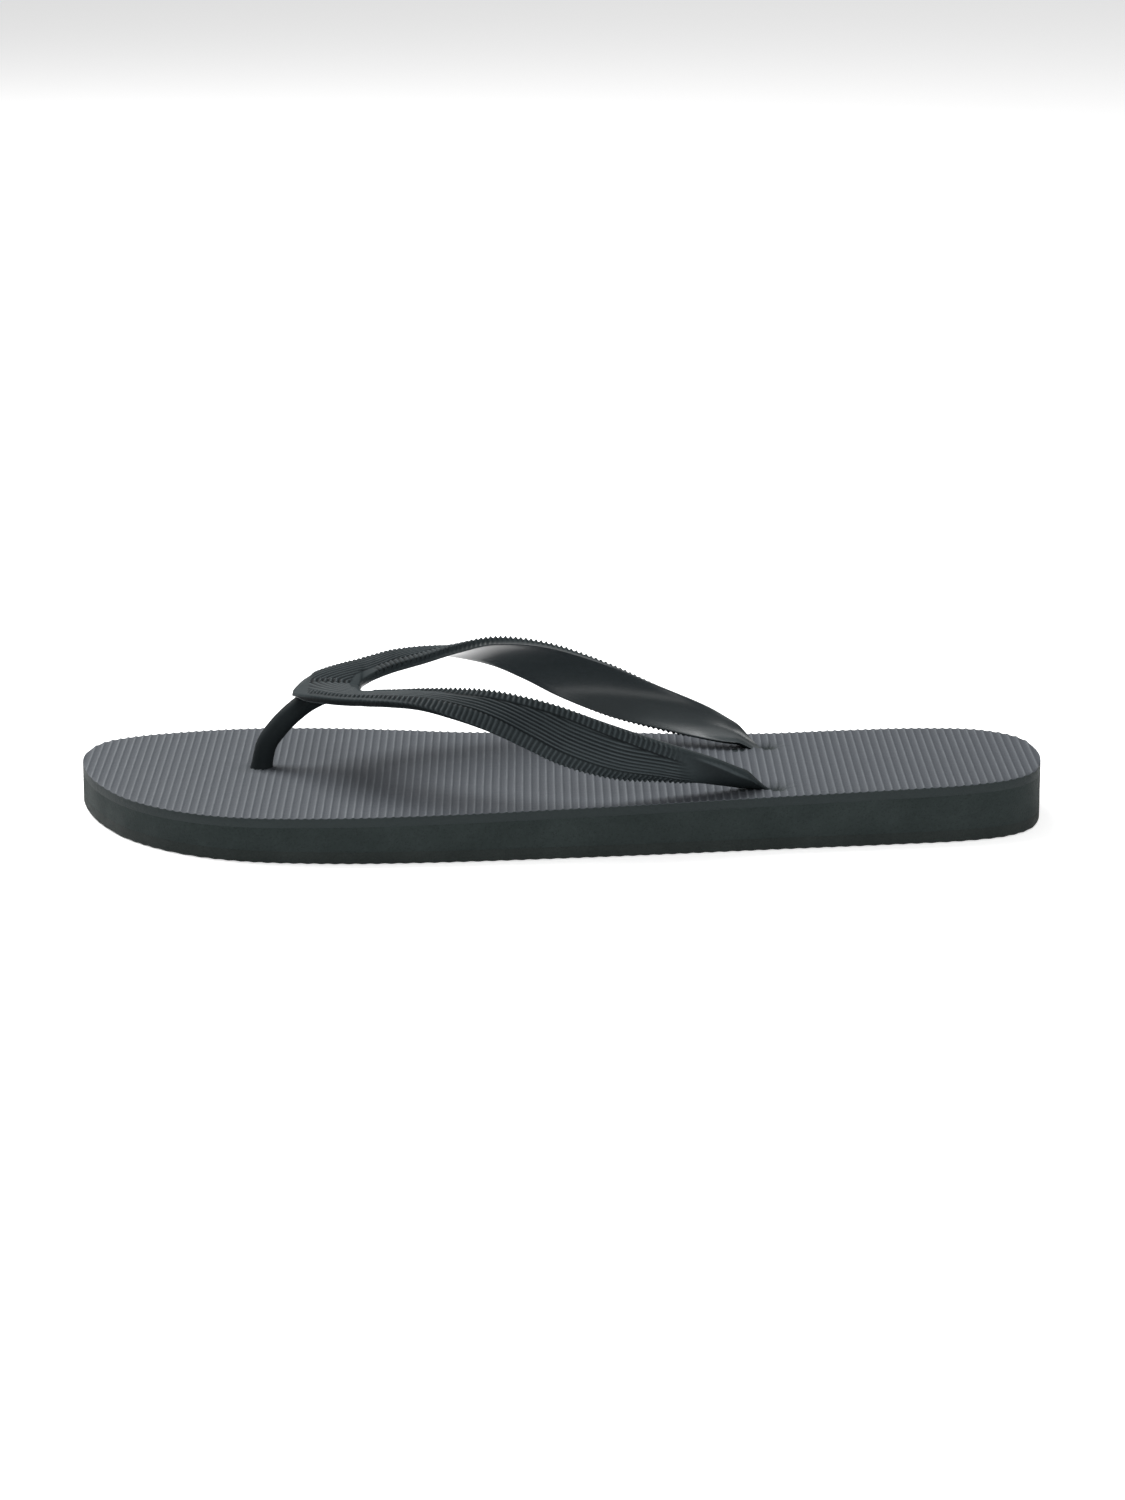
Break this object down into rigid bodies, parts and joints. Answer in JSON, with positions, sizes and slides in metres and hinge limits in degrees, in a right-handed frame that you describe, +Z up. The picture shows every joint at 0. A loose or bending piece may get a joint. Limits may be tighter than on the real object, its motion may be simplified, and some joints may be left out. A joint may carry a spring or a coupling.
{
  "type": "flip flop",
  "caption": "Left-foot thong sandal: ribbed footbed on a tapered foam sole that flexes at the ball, with a moulded ribbed strap, toe post and plug buttons under the sole.",
  "frame": {"origin": "on the ground, under the middle of the sole's bounding box", "axes": "+X from toe to heel, +Y towards the inner side of the foot, +Z up"},
  "size_m": [0.2849, 0.1067, 0.0461],
  "materials": {
    "footbed": "matt ribbed foam sheet",
    "midsole": "matt fine-pored foam",
    "outsole": "matt foam sheet with a shallow tread",
    "strap": "moulded, matt ribbed outside, satin inside"
  },
  "bodies": {
    "rear": {"footbed_rear": "footbed", "midsole_rear": "midsole", "outsole_rear": "outsole", "thong_strap": "strap"},
    "forefoot": {"footbed_front": "footbed", "midsole_front": "midsole", "outsole_front": "outsole"}
  },
  "joints": [
    {"name": "sole_flex", "type": "hinge", "parent": "rear", "child": "forefoot", "pos_m": [-0.04247, 0, 0.01432], "axis": [0, 1, 0], "range_deg": [0, 35], "stiffness_Nm_per_rad": 1, "deforming": ["thong_strap"]}
  ]
}
